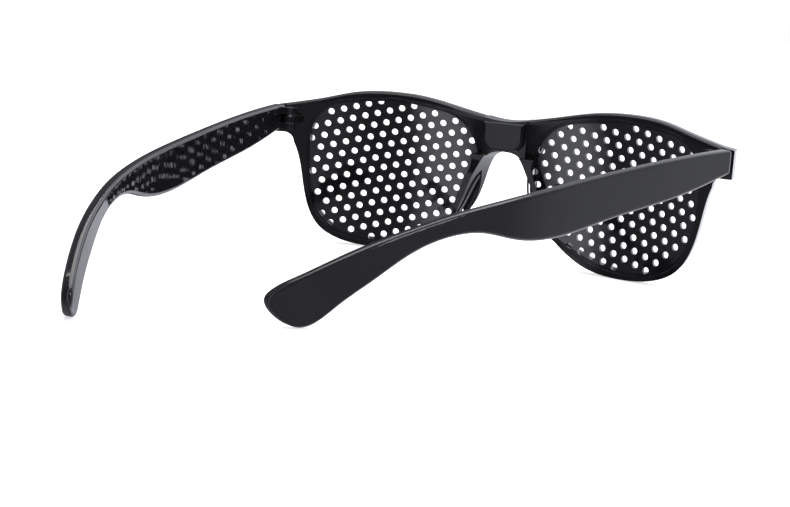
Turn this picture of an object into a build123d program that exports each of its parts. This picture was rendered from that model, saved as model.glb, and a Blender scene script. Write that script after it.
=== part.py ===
"""Pinhole glasses: one moulded front, two perforated plates, two folding temples and their screws.

Millimetres. +X is the wearer's left, +Y runs back along the temples, +Z is up and the table is at
zero. The front is drawn about the point midway between the two lens centres and then set down.
"""
from math import cos, radians, sin, sqrt

from build123d import *
import os

# Placing of the front
front_half_width = 71.5
lens_height = 25.1
lens_spacing_share = 0.5189
lens_wrap_deg = 12.2
front_lean_deg = 2.4
depth_to_middle = 75.31
width_to_middle = 0.86
rim_drop = 0.14

# Curved shell of the front and the plates in it
plate_rear_radius = 88.0
plate_thickness = 1.2
groove_play = 0.1
rear_lip = 1.0
front_lip = 2.0
plate_grip = 0.7
lip_step_width = 0.6
lip_step_depth = 0.4

# Round openings
opening_width_share = 0.7580
opening_height_share = 1.7649
deep = 60.0

# Holes
hole_pitch = 4.0
hole_radius = 1.0
row_angle_deg = 165.0
row_turn_deg = 120.0
grid_reach = 16
left_grid_start = (1.83, 3.80)
right_grid_start = (1.31, 2.95)
hole_edge_margin = 0.2

# Front outline and bridge
rear_edge_round = 1.3
bridge_half_width = 7.0
bridge_front = 3.9
bridge_rear = 2.6
bridge_low = 5.0
saddle_half_width = 6.5
saddle_low = 9.6
saddle_high = 18.2
saddle_rear = 4.6
saddle_corner = 3.6
saddle_round = 0.9

# Nose notch and pad ridges
notch_front_depth = 6.0
notch_rear_depth = 6.0
notch_floor = 34.0
pad_rear = 4.2
pad_foot_depth = 0.6
pad_round = 0.5

# Hinges
lug_radius = 2.1
lug_side_gap = 0.1
hinge_setback = 2.3
end_face_inset = 0.45
end_gap = 0.3
end_block_width = 7.3
end_block_depth = 5.2
lug_middle_share = 0.554
upper_lug_height = 2.2
sight_gap = 0.6
frame_lug_height = 1.9
lug_play = 0.1
lower_lug_height = 2.0
lug_edge_break = 0.3
screw_radius = 0.75
screw_head_radius = 1.3
screw_head_height = 0.7
screw_head_sink = 0.15
screw_slot_width = 0.35
screw_slot_depth = 0.35
bore_clearance = 0.05
head_clearance = 0.08
thread_clearance = 0.02

# Temples
temple_length = 141.7
temple_straight = 66.6
temple_turn_deg = 30.6
temple_thickness = 3.0
temple_root_thickness = 4.2
temple_root_length = 35.0
temple_edge_round = 1.0
left_open_deg = 1.5
right_fold_deg = 30.6

temple_outer_x = front_half_width
hinge_x = temple_outer_x - temple_root_thickness - lug_side_gap - lug_radius
lens_half_spacing = lens_spacing_share * front_half_width
opening_width = opening_width_share * front_half_width
opening_height = opening_height_share * lens_height
stand_height = lens_height + rim_drop

frame_lug_bottom = lug_middle_share * lens_height - frame_lug_height / 2 - sight_gap / 2 + lug_play
frame_lug_top = frame_lug_bottom + frame_lug_height
upper_lug_bottom = frame_lug_top + sight_gap
upper_lug_top = upper_lug_bottom + upper_lug_height
lower_lug_top = frame_lug_bottom - lug_play
lower_lug_bottom = lower_lug_top - lower_lug_height

wrap = radians(lens_wrap_deg)
lens_normal = Vector(sin(wrap), -cos(wrap), 0)
shell_x = lens_half_spacing - plate_rear_radius * sin(wrap)
shell_y = plate_rear_radius * cos(wrap)
wall_rear_radius = plate_rear_radius - groove_play - rear_lip
wall_front_radius = plate_rear_radius + plate_thickness + groove_play + front_lip
end_reach = front_half_width - shell_x
hinge_face_y = shell_y - sqrt(wall_rear_radius * wall_rear_radius - end_reach * end_reach) - end_face_inset
hinge_y = hinge_face_y + hinge_setback
end_block_inner = front_half_width - end_block_width
end_block_front = hinge_face_y - end_block_depth
lens_plane = Plane(origin=(lens_half_spacing, 0, 0), x_dir=(cos(wrap), sin(wrap), 0), z_dir=lens_normal)

# The opening's edge from the temple side round over the top, as shares of its half width and half height
opening_shares = [
    (0.959, 0.000), (0.963, 0.316), (0.900, 0.637), (0.705, 0.862), (0.439, 0.930), (0.207, 0.948),
    (0.000, 0.971), (-0.207, 0.948), (-0.428, 0.907), (-0.686, 0.840), (-0.904, 0.637), (-1.007, 0.330),
    (-1.036, 0.000), (-0.982, -0.330), (-0.810, -0.610), (-0.600, -0.785), (-0.405, -0.890),
    (-0.207, -0.982), (0.000, -1.023), (0.225, -1.029), (0.465, -0.984), (0.694, -0.849),
    (0.860, -0.610), (0.937, -0.307),
]

# Left half of the front seen from behind, as shares of the front's half width and the lens height
brow_shares = [
    (0.000, 0.737), (0.104, 0.771), (0.210, 0.829), (0.316, 0.896), (0.434, 0.948), (0.511, 0.960),
    (0.580, 0.960), (0.699, 0.924), (0.811, 0.841), (0.900, 0.785), (1.000, 0.729),
]
brow_end_slope = (1, -0.2)
end_low_share = (1.000, 0.402)
arch_shares = [(0.950, 0.398), (0.930, 0.360), (0.920, 0.275)]
rim_shares = [
    (0.920, 0.275), (0.899, 0.072), (0.882, -0.199), (0.860, -0.474), (0.836, -0.637),
    (0.791, -0.801), (0.735, -0.900), (0.644, -0.976), (0.532, -0.997), (0.434, -0.968),
    (0.361, -0.896), (0.290, -0.777), (0.220, -0.610),
]
lower_nose_share = (0.070, -0.430)

# Edge of the nose notch, from the middle down, as shares of the front's half width and the lens height
notch_front_shares = [
    (0.000, 0.331), (0.050, 0.287), (0.072, 0.200), (0.095, 0.000), (0.121, -0.247), (0.155, -0.420),
]
notch_rear_shares = [
    (0.000, 0.378), (0.070, 0.340), (0.110, 0.175), (0.142, 0.000), (0.176, -0.247), (0.206, -0.440),
]
notch_end_front_share = 0.245
notch_end_rear_share = 0.300

# Pad ridge sections going down: height, rear reach, foot and rear edge on the temple side
pad_levels = [
    (0.305, 1.000, 0.134, 0.143), (0.120, 1.000, 0.132, 0.143), (-0.040, 1.000, 0.134, 0.167),
    (-0.240, 0.950, 0.146, 0.193), (-0.400, 0.800, 0.168, 0.210), (-0.500, 0.350, 0.196, 0.214),
]
pad_inner_share = 0.030

# Side view of a temple: share of its length, then its edge as a share of the lens height
temple_top_shares = [
    (0.000, 0.721), (0.163, 0.629), (0.327, 0.496), (0.457, 0.372), (0.555, 0.266), (0.621, 0.187),
    (0.686, 0.096), (0.752, -0.025), (0.817, -0.164), (0.882, -0.331), (0.948, -0.522),
]
temple_tip_shares = [(0.985, -0.640), (1.000, -0.740), (0.988, -0.880)]
temple_low_shares = [
    (0.940, -1.003), (0.882, -0.802), (0.817, -0.522), (0.752, -0.262), (0.686, -0.113),
    (0.621, -0.080), (0.555, -0.150), (0.457, -0.152), (0.327, 0.004), (0.163, 0.190), (0.035, 0.394),
]
temple_front_low_share = 0.455
plan_shares = [0, 0.085, 0.176, 0.282, 0.388, 0.465, 0.536, 0.621, 0.705, 0.790, 0.874, 0.959, 1.044, 1.086]


def opening_points(grow):
    """Points of the opening's edge in the lens plane, each moved out from the centre by grow."""
    points = []
    for u_share, v_share in opening_shares:
        u = u_share * opening_width / 2
        v = v_share * opening_height / 2
        reach = sqrt(u * u + v * v)
        points.append((u * (1 + grow / reach), v * (1 + grow / reach)))
    return points


def lens_prism(grow):
    """A straight prism through the front along the lens normal, with the opening's outline."""
    edge = Spline(*opening_points(grow), periodic=True)
    face = lens_plane * make_face(edge)
    return extrude(face, amount=deep / 2, dir=lens_normal, both=True)


def shell(inner_radius, outer_radius):
    """The part of a thick sphere about the left lens's centre of curvature that faces forward."""
    middle = Pos(shell_x, shell_y, 0)
    ball = middle * Sphere(outer_radius) - middle * Sphere(inner_radius)
    window = Pos(0, shell_y - plate_rear_radius, 0) * Box(
        plate_rear_radius, plate_rear_radius, plate_rear_radius, align=(Align.MIN, Align.CENTER, Align.CENTER)
    )
    return ball & window


def half_point(share):
    """A point of the front's left half in its rear view."""
    return (share[0] * front_half_width, share[1] * lens_height)


def front_half_prism():
    """The left half of the front's outline run through its whole depth."""
    view = Plane(origin=(0, 0, 0), x_dir=(1, 0, 0), z_dir=(0, -1, 0))
    brow = Spline(*[half_point(share) for share in brow_shares], tangents=[(1, 0), brow_end_slope])
    end = Line(brow @ 1, half_point(end_low_share))
    under_end = Line(end @ 1, half_point(arch_shares[0]))
    arch = Spline(*[half_point(share) for share in arch_shares])
    rim = Spline(*[half_point(share) for share in rim_shares])
    nose = Line(rim @ 1, half_point(lower_nose_share))
    inner = Line(nose @ 1, (0, lower_nose_share[1] * lens_height))
    middle = Line(inner @ 1, brow @ 0)
    face = view * make_face([brow, end, under_end, arch, rim, nose, inner, middle])
    return extrude(face, amount=deep / 2, dir=(0, 1, 0), both=True)


def notch_wire(shares, end_share, depth):
    """One closed outline of the nose notch on a plane at the given depth."""
    view = Plane(origin=(0, depth, 0), x_dir=(1, 0, 0), z_dir=(0, -1, 0))
    right = [half_point(share) for share in shares]
    left = [(-x, z) for x, z in reversed(right)]
    low = end_share * front_half_width
    crest = Spline(*(left[:-1] + right))
    outline = [
        crest,
        Line(crest @ 1, (low, -lens_height)),
        Line((low, -lens_height), (low, -notch_floor)),
        Line((low, -notch_floor), (-low, -notch_floor)),
        Line((-low, -notch_floor), (-low, -lens_height)),
        Line((-low, -lens_height), crest @ 0),
    ]
    return view * make_face(outline)


def nose_notch():
    """The flared space for the nose, wider at the back than at the front."""
    front = notch_wire(notch_front_shares, notch_end_front_share, -notch_front_depth)
    rear = notch_wire(notch_rear_shares, notch_end_rear_share, notch_rear_depth)
    return loft([front, rear])


def pad_ridge():
    """The moulded nose pad on the left: a wall standing back from the rim beside the notch."""
    sections = []
    for height_share, reach_share, foot_share, rear_share in pad_levels:
        level = Plane(origin=(0, 0, height_share * lens_height), x_dir=(1, 0, 0), z_dir=(0, 0, 1))
        inner = pad_inner_share * front_half_width
        outline = Polyline(
            (inner, -pad_foot_depth),
            (inner, pad_rear * reach_share),
            (rear_share * front_half_width, pad_rear * reach_share),
            (foot_share * front_half_width, -pad_foot_depth),
            close=True,
        )
        sections.append(level * make_face(outline))
    return loft(sections)


def saddle():
    """The padded block behind the bridge, with round lower corners."""
    view = Plane(origin=(0, 0, 0), x_dir=(1, 0, 0), z_dir=(0, -1, 0))
    middle = (saddle_low + saddle_high) / 2
    sketch = Pos(0, middle) * Rectangle(2 * saddle_half_width, saddle_high - saddle_low)
    low = sketch.vertices().sort_by(Axis.Y)[:2]
    sketch = fillet(low, saddle_corner)
    block = extrude(view * sketch, amount=saddle_rear, dir=(0, 1, 0))
    rear = block.faces().sort_by(Axis.Y)[-1]
    return fillet(rear.edges(), saddle_round)


def tilt_and_stand(shape):
    """Lean the front back, then set it on the table as the other pieces are."""
    return stand(Rot(-front_lean_deg, 0, 0) * shape)


def stand(shape):
    """Lift a shape drawn about the lens height onto the table and centre the part over the origin."""
    return Pos(-width_to_middle, -depth_to_middle, stand_height) * shape


def mirrored(shape):
    """The same shape on the wearer's right."""
    return mirror(shape, about=Plane.YZ)


def upright_cylinder(x, y, low, high, radius):
    """A cylinder about a vertical axis between two heights."""
    rod = Cylinder(radius, high - low, align=(Align.CENTER, Align.CENTER, Align.MIN))
    return Pos(x, y, low) * rod


def block_between(x_low, x_high, y_low, y_high, z_low, z_high):
    """A box given by its faces."""
    size = Box(x_high - x_low, y_high - y_low, z_high - z_low, align=(Align.MIN, Align.MIN, Align.MIN))
    return Pos(x_low, y_low, z_low) * size


def brow_edge(face):
    """The long upper edge of a curved face of the wall."""
    high = [edge for edge in face.edges() if edge.center().Z > bridge_low]
    return sorted(high, key=lambda edge: edge.length)[-1]


def lip_step():
    """The shallow step round the rear edge of the left opening."""
    return shell(wall_rear_radius - rear_lip, wall_rear_radius + lip_step_depth) & lens_prism(lip_step_width)


def rounded_wall():
    """The left half of the curved wall and its opening, with the brow's rear edge rounded."""
    wall = shell(wall_rear_radius, wall_front_radius) & front_half_prism()
    rear = wall.faces().filter_by(GeomType.SPHERE).sort_by(Axis.Y)[-1]
    return fillet([brow_edge(rear)], rear_edge_round) - lens_prism(0) - lip_step()


def half_front():
    """The left half of the moulded front, before the nose notch and the hinge."""
    bridge = block_between(0, bridge_half_width, -bridge_front, bridge_rear, bridge_low, lens_height)
    end_block = block_between(
        end_block_inner, front_half_width, end_block_front, hinge_face_y + rear_edge_round,
        end_low_share[1] * lens_height, lens_height,
    )
    outline = front_half_prism()
    return rounded_wall() + (end_block & outline) + (bridge & outline) + pad_ridge()


def plate_groove():
    """The room for the left plate with its play all round."""
    room = shell(plate_rear_radius - groove_play, plate_rear_radius + plate_thickness + groove_play)
    return room & lens_prism(plate_grip + groove_play)


def frame_lug():
    """The frame's middle hinge lug on the left, drawn upright."""
    barrel = upright_cylinder(hinge_x, hinge_y, frame_lug_bottom, frame_lug_top, lug_radius)
    root = block_between(
        hinge_x - lug_radius, hinge_x + lug_radius, end_block_front, hinge_y, frame_lug_bottom, frame_lug_top
    )
    return barrel + root


def screw_bore(low, high, radius):
    """The hole for the screw through one lug."""
    return upright_cylinder(hinge_x, hinge_y, low, high, radius)


def front_frame():
    """The whole moulded front."""
    half = half_front() - plate_groove()
    whole = half + mirrored(half) + saddle()
    whole = tilt_and_stand(whole - nose_notch())
    flat_cut = block_between(
        hinge_x - lug_radius, deep * 2, hinge_face_y, deep, -lens_height, lens_height
    )
    whole = whole - stand(flat_cut) - stand(mirrored(flat_cut))
    lug = frame_lug()
    bore = screw_bore(frame_lug_bottom - lug_radius, frame_lug_top + lug_radius, screw_radius + bore_clearance)
    whole = whole + stand(lug) + stand(mirrored(lug))
    return whole - stand(bore) - stand(mirrored(bore))


def inside_opening(u, v, margin):
    """Whether a point of the lens plane lies in the opening grown by a margin."""
    points = opening_points(margin)
    inside = False
    for index in range(len(points)):
        u1, v1 = points[index - 1]
        u2, v2 = points[index]
        if (v1 > v) != (v2 > v) and u < u1 + (v - v1) * (u2 - u1) / (v2 - v1):
            inside = not inside
    return inside


def hole_centres(start):
    """Centres of the triangular hole grid that lie in the opening, in the lens plane."""
    first = radians(row_angle_deg)
    second = radians(row_angle_deg + row_turn_deg)
    centres = []
    for i in range(-grid_reach, grid_reach + 1):
        for j in range(-grid_reach, grid_reach + 1):
            u = start[0] + hole_pitch * (i * cos(first) + j * cos(second))
            v = start[1] + hole_pitch * (i * sin(first) + j * sin(second))
            if inside_opening(u, v, hole_edge_margin):
                centres.append((u, v))
    return centres


def pinhole_plate(start):
    """A left-hand perforated plate with its grid begun at the given point."""
    plate = shell(plate_rear_radius, plate_rear_radius + plate_thickness) & lens_prism(plate_grip)
    holes = [
        lens_plane * (Pos(u, v, 0) * Cylinder(hole_radius, deep / 2))
        for u, v in hole_centres(start)
    ]
    return plate - holes


def bowed_point(along, inset):
    """A point of the temple's plan: how far along its outer face and how far inside it."""
    bow = (temple_length - temple_straight) / radians(temple_turn_deg)
    bend = max(0, along - temple_straight) / bow
    x = temple_outer_x - bow * (1 - cos(bend))
    y = hinge_face_y + end_gap + min(along, temple_straight) + bow * sin(bend)
    return (x - inset * cos(bend), y - inset * sin(bend))


def thickness_at(along):
    """The temple's thickness, greatest at the hinge."""
    root = max(0, 1 - along / temple_root_length)
    return temple_thickness + (temple_root_thickness - temple_thickness) * root * root


def temple_band():
    """The temple's plan: straight, then bowed inward, thicker at the hinge."""
    stations = [share * temple_length for share in plan_shares]
    outer = Spline(*[bowed_point(along, 0) for along in stations])
    inner = Spline(*[bowed_point(along, thickness_at(along)) for along in stations])
    tip = Line(outer @ 1, inner @ 1)
    end = Line(inner @ 0, outer @ 0)
    return extrude(make_face([outer, tip, inner, end]), amount=deep, both=True)


def side_point(share):
    """A point of the temple's side view."""
    return (bowed_point(share[0] * temple_length, 0)[1], share[1] * lens_height)


def temple_side():
    """The temple's side outline run through its whole bow."""
    view = Plane(origin=(0, 0, 0), x_dir=(0, 1, 0), z_dir=(1, 0, 0))
    front = hinge_face_y + end_gap
    edge = Spline(*[side_point(share) for share in temple_top_shares + temple_tip_shares + temple_low_shares])
    corner = Line(edge @ 1, (front, temple_front_low_share * lens_height))
    end = Line(corner @ 1, edge @ 0)
    face = view * make_face([edge, corner, end])
    return extrude(face, amount=temple_outer_x * 2, dir=(1, 0, 0))


def temple_lug(low, high):
    """One hinge lug on the temple's inner side."""
    barrel = upright_cylinder(hinge_x, hinge_y, low, high, lug_radius)
    root = block_between(
        hinge_x, temple_outer_x - temple_root_thickness / 2, hinge_y - lug_radius / 2,
        hinge_y + lug_radius, low, high,
    )
    return barrel + root


def temple_shape():
    """The left temple with all its edges rounded, before its lugs."""
    arm = temple_band() & temple_side()
    return fillet(arm.edges(), temple_edge_round)


def temple(turn_deg):
    """A left-hand temple with its lugs, turned on its hinge."""
    arm = temple_shape()
    arm = arm + temple_lug(upper_lug_bottom, upper_lug_top) + temple_lug(lower_lug_bottom, lower_lug_top)
    arm = arm - screw_bore(upper_lug_bottom - lug_radius / 4, lens_height, screw_radius + bore_clearance)
    head_seat = upper_lug_top - screw_head_sink - screw_head_height
    arm = arm - screw_bore(head_seat, lens_height, screw_head_radius + head_clearance)
    arm = arm - screw_bore(-lens_height, lower_lug_top, screw_radius + thread_clearance)
    return turned(arm, turn_deg)


def turned(shape, turn_deg):
    """Turn a shape about the left hinge, inward when positive."""
    return Pos(hinge_x, hinge_y, 0) * Rot(0, 0, turn_deg) * Pos(-hinge_x, -hinge_y, 0) * shape


def hinge_screw(turn_deg):
    """The slotted screw put in from above."""
    seat = upper_lug_top - screw_head_sink - screw_head_height
    shank = upright_cylinder(hinge_x, hinge_y, lower_lug_bottom, seat, screw_radius)
    head = upright_cylinder(hinge_x, hinge_y, seat, seat + screw_head_height, screw_head_radius)
    slot = block_between(
        hinge_x - screw_head_radius, hinge_x + screw_head_radius,
        hinge_y - screw_slot_width / 2, hinge_y + screw_slot_width / 2,
        seat + screw_head_height - screw_slot_depth, seat + 2 * screw_head_height,
    )
    return turned(shank + head - slot, turn_deg)


def save(shape, node):
    """Write one piece as a single solid under its node name."""
    solids = shape.solids()
    solid = solids.sort_by(SortBy.VOLUME)[-1]
    print(node, len(solids), round(solid.volume, 1), solid.is_valid)
    export_step(solid, os.path.join("parts", node + ".step"))


os.makedirs("parts", exist_ok=True)
save(front_frame(), "front_frame")
save(tilt_and_stand(pinhole_plate(left_grid_start)), "pinhole_plate_left")
save(tilt_and_stand(mirrored(pinhole_plate(right_grid_start))), "pinhole_plate_right")
save(stand(temple(-left_open_deg)), "temple_left")
save(stand(mirrored(temple(right_fold_deg))), "temple_right")
save(stand(hinge_screw(-left_open_deg)), "hinge_screw_left")
save(stand(mirrored(hinge_screw(right_fold_deg))), "hinge_screw_right")
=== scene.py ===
import math

import bpy
import numpy as np
from mathutils import Matrix, Vector


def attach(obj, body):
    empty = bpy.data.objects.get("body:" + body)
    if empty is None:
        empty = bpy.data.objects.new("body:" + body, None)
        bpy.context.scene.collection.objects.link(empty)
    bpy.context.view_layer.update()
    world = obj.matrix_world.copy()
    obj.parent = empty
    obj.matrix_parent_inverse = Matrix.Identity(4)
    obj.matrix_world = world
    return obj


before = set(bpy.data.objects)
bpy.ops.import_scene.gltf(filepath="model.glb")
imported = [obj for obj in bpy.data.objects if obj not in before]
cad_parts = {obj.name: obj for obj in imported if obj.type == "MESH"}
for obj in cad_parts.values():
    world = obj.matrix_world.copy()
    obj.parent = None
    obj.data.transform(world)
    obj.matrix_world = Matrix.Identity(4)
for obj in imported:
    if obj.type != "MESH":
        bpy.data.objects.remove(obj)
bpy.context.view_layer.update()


# Moulded front
# The rims, brow, bridge and nose pads are one black injection moulding with a polished skin.
# Its surface has the faint waviness and fine wipe marks of a handled glossy plastic.

# Noise scales of moulded plastic, per metre, and the stretch of its wipe marks
tone_scale = 55
polish_scale = 140
wave_scale = 70
grain_scale = 2600
wipe_stretch = (1, 0.35, 1)
# Where the tone ramp starts and ends, the part of a noise that is used, and how far bumps tilt the skin
tone_stops = (0.35, 0.7)
noise_span = (0.3, 0.7)
plastic_bump = 0.25
plastic_ior = 1.5


def add_node(tree, kind, values=(), **settings):
    """A shader node with its settings and the given values set straight on its input sockets."""
    node = tree.nodes.new(kind)
    for name, value in settings.items():
        setattr(node, name, value)
    for name, value in dict(values).items():
        node.inputs[name].default_value = value
    return node


def new_material(name):
    """An empty node material and its Principled shader, already joined to the output."""
    material = bpy.data.materials.new(name)
    material.use_nodes = True
    tree = material.node_tree
    tree.nodes.clear()
    shader = add_node(tree, "ShaderNodeBsdfPrincipled")
    output = add_node(tree, "ShaderNodeOutputMaterial")
    tree.links.new(shader.outputs["BSDF"], output.inputs["Surface"])
    return material, tree, shader


def object_noise(tree, scale, detail, stretch=(1, 1, 1)):
    """Noise over the object's own coordinates, finer along an axis where the stretch is larger."""
    place = add_node(tree, "ShaderNodeTexCoord")
    mapping = add_node(tree, "ShaderNodeMapping", {"Scale": stretch})
    noise = add_node(tree, "ShaderNodeTexNoise", {"Scale": scale, "Detail": detail, "Roughness": 0.55})
    tree.links.new(place.outputs["Object"], mapping.inputs["Vector"])
    tree.links.new(mapping.outputs["Vector"], noise.inputs["Vector"])
    return noise


def ranged(tree, source, span, to_span):
    """The source value carried from one span to another."""
    values = {"From Min": span[0], "From Max": span[1], "To Min": to_span[0], "To Max": to_span[1]}
    node = add_node(tree, "ShaderNodeMapRange", values)
    tree.links.new(source, node.inputs["Value"])
    return node.outputs["Result"]


def bumped(tree, height, strength, depth, normal=None):
    """A normal tilted by a noise of the given depth, on top of another normal if one is given."""
    bump = add_node(tree, "ShaderNodeBump", {"Strength": strength, "Distance": depth})
    tree.links.new(height.outputs["Fac"], bump.inputs["Height"])
    if normal:
        tree.links.new(normal, bump.inputs["Normal"])
    return bump.outputs["Normal"]


def gloss_plastic(name, tones, roughness, wave, grain, edge_round, shine, flow=(1, 1, 1), ripple=(1, 1, 1)):
    """Black moulded plastic: uneven tone and polish, rounded edges, slow waves along the flow, and a
    fine grain, which the ripple stretch draws out into low waves across the piece."""
    material, tree, shader = new_material(name)
    ramp = add_node(tree, "ShaderNodeValToRGB")
    for stop, position, tone in zip(ramp.color_ramp.elements, tone_stops, tones):
        stop.position = position
        stop.color = (*tone, 1)
    tree.links.new(object_noise(tree, tone_scale, 3).outputs["Fac"], ramp.inputs["Fac"])
    tree.links.new(ramp.outputs["Color"], shader.inputs["Base Color"])
    polish = object_noise(tree, polish_scale, 5, wipe_stretch)
    tree.links.new(ranged(tree, polish.outputs["Fac"], noise_span, roughness), shader.inputs["Roughness"])
    edge = add_node(tree, "ShaderNodeBevel", {"Radius": edge_round})
    waves = object_noise(tree, wave_scale, 1, flow)
    skin = bumped(tree, waves, plastic_bump, wave, edge.outputs["Normal"])
    skin = bumped(tree, object_noise(tree, grain_scale, 2, ripple), plastic_bump, grain, skin)
    tree.links.new(skin, shader.inputs["Normal"])
    shader.inputs["IOR"].default_value = plastic_ior
    shader.inputs["Specular IOR Level"].default_value = shine
    return material


def dress(node_name, material):
    """Give a CAD node its material through the object's own slot."""
    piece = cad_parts[node_name]
    if not piece.material_slots:
        piece.data.materials.append(None)
    for slot in piece.material_slots:
        slot.link = "OBJECT"
        slot.material = material


black_tones = ((0.0035, 0.0035, 0.004), (0.006, 0.006, 0.0068))
frame_black = gloss_plastic(
    "moulded_black", black_tones, roughness=(0.04, 0.09), wave=0.0001, grain=0.000001,
    edge_round=0.0003, shine=0.22,
)
dress("front_frame", frame_black)


# Rim edges
# The moulding's rear lip ends round each opening in a fine rounded edge, raised a little above the
# shallow step in front of it. It shows as a thin light line round the plates.

# Half width and half height of an opening in metres, and the points of its edge as shares of them
opening_half = np.array((0.0271, 0.02215))
opening_shares = np.array([
    (0.959, 0.000), (0.963, 0.316), (0.900, 0.637), (0.705, 0.862), (0.439, 0.930), (0.207, 0.948),
    (0.000, 0.971), (-0.207, 0.948), (-0.428, 0.907), (-0.686, 0.840), (-0.904, 0.637), (-1.007, 0.330),
    (-1.036, 0.000), (-0.982, -0.330), (-0.810, -0.610), (-0.600, -0.785), (-0.405, -0.890),
    (-0.207, -0.982), (0.000, -1.023), (0.225, -1.029), (0.465, -0.984), (0.694, -0.849),
    (0.860, -0.610), (0.937, -0.307),
])
# How far outside the opening's edge the bead lies, its radius, and its height over the rear face
bead_out = 0.00075
bead_radius = 0.00032
bead_height = 0.0001
# Points of the bead between two points of the edge, and round its section
edge_steps = 12
ring_steps = 12
# The front in metres: lens centre, wrap and lean angles, the spheres' centre and rear face, its stand
lens_half_spacing = 0.0371
lens_wrap = math.radians(12.2)
front_lean = math.radians(2.4)
centre_distance = 0.088
rear_radius = 0.0869
front_stand = np.array((-0.00086, -0.07531, 0.02524))


def closed_curve(points, steps):
    """A smooth closed curve through the points. Between two neighbours it is a cubic that starts and
    ends in them, with a slope at each of half the step from the point before it to the one after."""
    t = np.linspace(0, 1, steps, endpoint=False)[:, None, None]
    before, here, after, beyond = (np.roll(points, shift, axis=0)[None] for shift in (1, 0, -1, -2))
    curve = here + t * (after - before) / 2
    curve = curve + t ** 2 * (2 * before - 5 * here + 4 * after - beyond) / 2
    curve = curve + t ** 3 * (3 * here - 3 * after + beyond - before) / 2
    return curve.transpose(1, 0, 2).reshape(-1, points.shape[1])


def ring_tube(name, rings, material, body):
    """A closed tube from rings of points, the last ring joined to the first, riding on a body."""
    count, around = rings.shape[:2]
    index = np.arange(count * around).reshape(count, around)
    beside = np.roll(index, -1, axis=1)
    faces = np.stack((index, beside, np.roll(beside, -1, axis=0), np.roll(index, -1, axis=0)), axis=-1)
    mesh = bpy.data.meshes.new(name)
    mesh.from_pydata(rings.reshape(-1, 3).tolist(), [], faces.reshape(-1, 4).tolist())
    mesh.shade_smooth()
    mesh.materials.append(material)
    piece = bpy.data.objects.new(name, mesh)
    bpy.context.scene.collection.objects.link(piece)
    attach(piece, body)
    return piece


def left_bead():
    """Rings of the left bead before the front leans back. Each point of the opening's edge, moved out
    a little, is carried along the lens normal onto the sphere of the rear face. A circle goes round
    it, in the plane of the sphere's own normal there and the direction across the edge."""
    edge = closed_curve(opening_shares * opening_half, edge_steps)
    edge = edge * (1 + bead_out / np.linalg.norm(edge, axis=1, keepdims=True))
    across = np.array((math.cos(lens_wrap), math.sin(lens_wrap), 0))
    upward = np.array((0, 0, 1))
    normal = np.array((math.sin(lens_wrap), -math.cos(lens_wrap), 0))
    centre = np.array((lens_half_spacing, 0, 0)) - centre_distance * normal
    u, v = edge[:, :1], edge[:, 1:]
    out = (u * across + v * upward + np.sqrt(rear_radius ** 2 - u * u - v * v) * normal) / rear_radius
    axis = centre + (rear_radius + bead_height) * out
    along = np.roll(axis, -1, axis=0) - np.roll(axis, 1, axis=0)
    along = along / np.linalg.norm(along, axis=1, keepdims=True)
    aside = np.cross(along, out)
    turn = np.linspace(0, 2 * math.pi, ring_steps, endpoint=False)[None, :, None]
    return axis[:, None] + bead_radius * (np.cos(turn) * out[:, None] + np.sin(turn) * aside[:, None])


def leaned(points):
    """Points of the upright front, leaned back and set on the table."""
    x, y, z = (points[..., axis] for axis in range(3))
    back = y * math.cos(front_lean) + z * math.sin(front_lean)
    up = z * math.cos(front_lean) - y * math.sin(front_lean)
    return np.stack((x, back, up), axis=-1) + front_stand


left_rings = left_bead()
# The mirrored rings run the other way round, so that their faces still look outward
right_rings = left_rings[:, ::-1] * (-1, 1, 1)
ring_tube("rim_bead_left", leaned(left_rings), frame_black, "front")
ring_tube("rim_bead_right", leaned(right_rings), frame_black, "front")


# Pinhole plates
# Each rim holds a thin curved plate of opaque black plastic, moulded with a grid of round holes.
# It is a little duller than the front.

plate_tones = ((0.003, 0.003, 0.0035), (0.005, 0.005, 0.0058))
plate_black = gloss_plastic(
    "plate_black", plate_tones, roughness=(0.05, 0.1), wave=0.00006, grain=0.0000012,
    edge_round=0.00015, shine=0.6,
)
dress("pinhole_plate_left", plate_black)
dress("pinhole_plate_right", plate_black)


# Temples
# The side arms are the same moulded black plastic, polished smoother than the front. Long shallow
# flow marks run along them and low ripples lie across them, which break up what they mirror.

temple_black = gloss_plastic(
    "temple_black", black_tones, roughness=(0.015, 0.04), wave=0.0002, grain=0.00004,
    edge_round=0.0003, shine=0.5, flow=(1, 0.3, 2), ripple=(1, 0.3, 0.05),
)
dress("temple_left", temple_black)
dress("temple_right", temple_black)


# Hinge screws
# Small turned steel screws with a slot across the head, one down through the lugs of each hinge.
# They are worn in patches and finely ringed by the turning.

steel_tone = (0.55, 0.54, 0.52)
steel_wear_scale = 1800
steel_wear_stretch = (1, 1, 4)
steel_roughness = (0.2, 0.42)
steel_bump = 0.3
steel_wear_depth = 0.00002


def turned_steel(name):
    """Bright steel with worn patches drawn out round the screw's axis."""
    material, tree, shader = new_material(name)
    shader.inputs["Base Color"].default_value = (*steel_tone, 1)
    shader.inputs["Metallic"].default_value = 1
    wear = object_noise(tree, steel_wear_scale, 4, steel_wear_stretch)
    tree.links.new(ranged(tree, wear.outputs["Fac"], noise_span, steel_roughness), shader.inputs["Roughness"])
    tree.links.new(bumped(tree, wear, steel_bump, steel_wear_depth), shader.inputs["Normal"])
    return material


screw_steel = turned_steel("screw_steel")
dress("hinge_screw_left", screw_steel)
dress("hinge_screw_right", screw_steel)


# Floor
# A white table that runs on without an edge and keeps the contact shadows. It lies a hair under the
# glasses and is left out of reflections, so that the black plastic mirrors the room alone.

floor_half = 6
floor_height = -0.0002
floor_tone = (0.93, 0.93, 0.93)
floor_glow = 0.6


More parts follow.
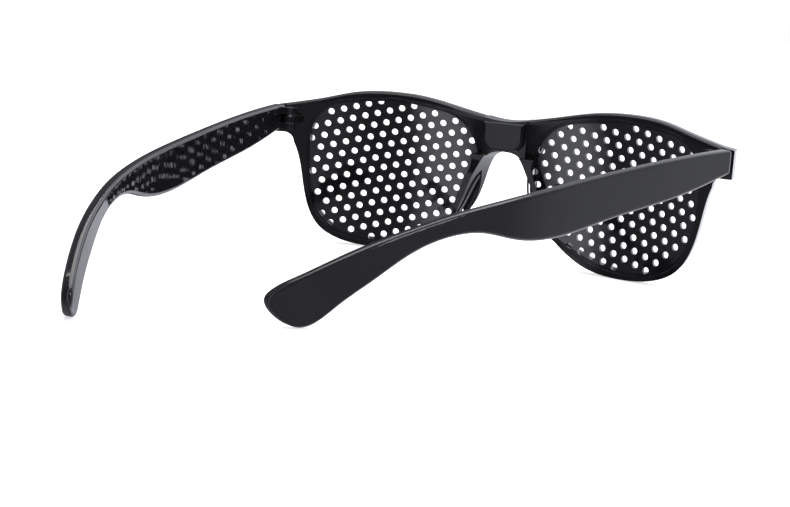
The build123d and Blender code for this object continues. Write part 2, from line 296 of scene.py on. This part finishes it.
def flat_square(name, half, height):
    """A flat square about the origin at one height, as one face."""
    corners = [(-half, -half, height), (half, -half, height), (half, half, height), (-half, half, height)]
    mesh = bpy.data.meshes.new(name)
    mesh.from_pydata(corners, [], [(0, 1, 2, 3)])
    piece = bpy.data.objects.new(name, mesh)
    bpy.context.scene.collection.objects.link(piece)
    return piece


floor_white, floor_tree, floor_shader = new_material("floor_white")
floor_shader.inputs["Base Color"].default_value = (*floor_tone, 1)
floor_shader.inputs["Roughness"].default_value = 0.6
floor_shader.inputs["Emission Color"].default_value = (1, 1, 1, 1)
floor_shader.inputs["Emission Strength"].default_value = floor_glow
floor = flat_square("floor", floor_half, floor_height)
floor.data.materials.append(floor_white)
floor.visible_glossy = False


# Light
# A large soft panel overhead and a weaker one from behind the wearer's right. The room is brighter
# or darker by bearing, which gives the black plastic its reflections, and the camera sees it white.

# Brightness of the room by bearing: degrees from the wearer's left, positive towards the back
room_levels = [
    (-180, 0.27), (-157, 0.7), (-150, 0.7), (-125, 1.3), (-100, 1.3), (-80, 0.5), (-62, 0.13), (0, 0.25),
    (56, 0.11), (66, 1.1), (76, 1.1), (86, 0.12), (100, 0.1), (122, 0.3), (180, 0.27),
]
room_strength = 1.5
# The room is a little cool
room_tint = (0.98, 1.0, 1.1)


def area_light(name, place, target, size, power):
    """A square soft light at a place, facing a target."""
    data = bpy.data.lights.new(name, "AREA")
    data.shape = "SQUARE"
    data.size = size
    data.energy = power
    lamp = bpy.data.objects.new(name, data)
    lamp.location = place
    lamp.rotation_mode = "QUATERNION"
    lamp.rotation_quaternion = (Vector(target) - Vector(place)).to_track_quat("-Z", "Y")
    bpy.context.scene.collection.objects.link(lamp)
    return lamp


def bearing_levels(tree):
    """The room's brightness as a colour, read off a ramp by the bearing of the direction seen."""
    place = add_node(tree, "ShaderNodeTexCoord")
    split = add_node(tree, "ShaderNodeSeparateXYZ")
    tree.links.new(place.outputs["Generated"], split.inputs["Vector"])
    bearing = add_node(tree, "ShaderNodeMath", operation="ARCTAN2")
    tree.links.new(split.outputs["Y"], bearing.inputs[0])
    tree.links.new(split.outputs["X"], bearing.inputs[1])
    ramp = add_node(tree, "ShaderNodeValToRGB")
    stops = ramp.color_ramp.elements
    positions = [(angle + 180) / 360 for angle, level in room_levels]
    for position in positions[1:-1]:
        stops.new(position)
    for stop, position, (angle, level) in zip(stops, positions, room_levels):
        stop.position = position
        stop.color = (*(level * tint for tint in room_tint), 1)
    tree.links.new(
        ranged(tree, bearing.outputs["Value"], (-math.pi, math.pi), (0, 1)), ramp.inputs["Fac"]
    )
    return ramp.outputs["Color"]


def surround():
    """A world that lights and is mirrored as the room, while the camera sees plain white."""
    world = bpy.data.worlds.new("surround")
    world.use_nodes = True
    tree = world.node_tree
    tree.nodes.clear()
    room = add_node(tree, "ShaderNodeBackground", {"Strength": room_strength})
    tree.links.new(bearing_levels(tree), room.inputs["Color"])
    plain = add_node(tree, "ShaderNodeBackground", {"Color": (1, 1, 1, 1), "Strength": 1})
    path = add_node(tree, "ShaderNodeLightPath")
    mix = add_node(tree, "ShaderNodeMixShader")
    output = add_node(tree, "ShaderNodeOutputWorld")
    tree.links.new(path.outputs["Is Camera Ray"], mix.inputs["Fac"])
    tree.links.new(room.outputs["Background"], mix.inputs[1])
    tree.links.new(plain.outputs["Background"], mix.inputs[2])
    tree.links.new(mix.outputs["Shader"], output.inputs["Surface"])
    return world


area_light("top_panel", place=(0.1, -0.1, 0.9), target=(0, 0, 0), size=0.8, power=7)
area_light("side_panel", place=(-0.7, 0.5, 0.5), target=(0, 0, 0.02), size=0.4, power=2)
bpy.context.scene.world = surround()


# Camera
# Low behind the wearer's right, turned a little about its own axis, as in the photo.

camera_place = (-0.13396, 0.36252, 0.0787)
picture_right = (-0.92749, -0.36730, 0.06963)
picture_down = (-0.12656, 0.13323, -0.98297)
focal_pixels = 1485
picture_width_pixels = 790
sensor_width_mm = 36
nearest = 0.01
farthest = 50


def aimed_camera(name, place, right, down):
    """A camera at a place, from the directions of its picture's right and down."""
    data = bpy.data.cameras.new(name)
    data.sensor_width = sensor_width_mm
    data.lens = sensor_width_mm * focal_pixels / picture_width_pixels
    data.clip_start = nearest
    data.clip_end = farthest
    eye = bpy.data.objects.new(name, data)
    across = Vector(right).normalized()
    forward = across.cross(Vector(down)).normalized()
    lower = forward.cross(across)
    turn = Matrix((across, -lower, -forward)).transposed()
    eye.matrix_world = Matrix.Translation(place) @ turn.to_4x4()
    bpy.context.scene.collection.objects.link(eye)
    return eye


camera = aimed_camera("camera", camera_place, picture_right, picture_down)
bpy.context.scene.camera = camera
bpy.context.scene.view_settings.view_transform = "Standard"
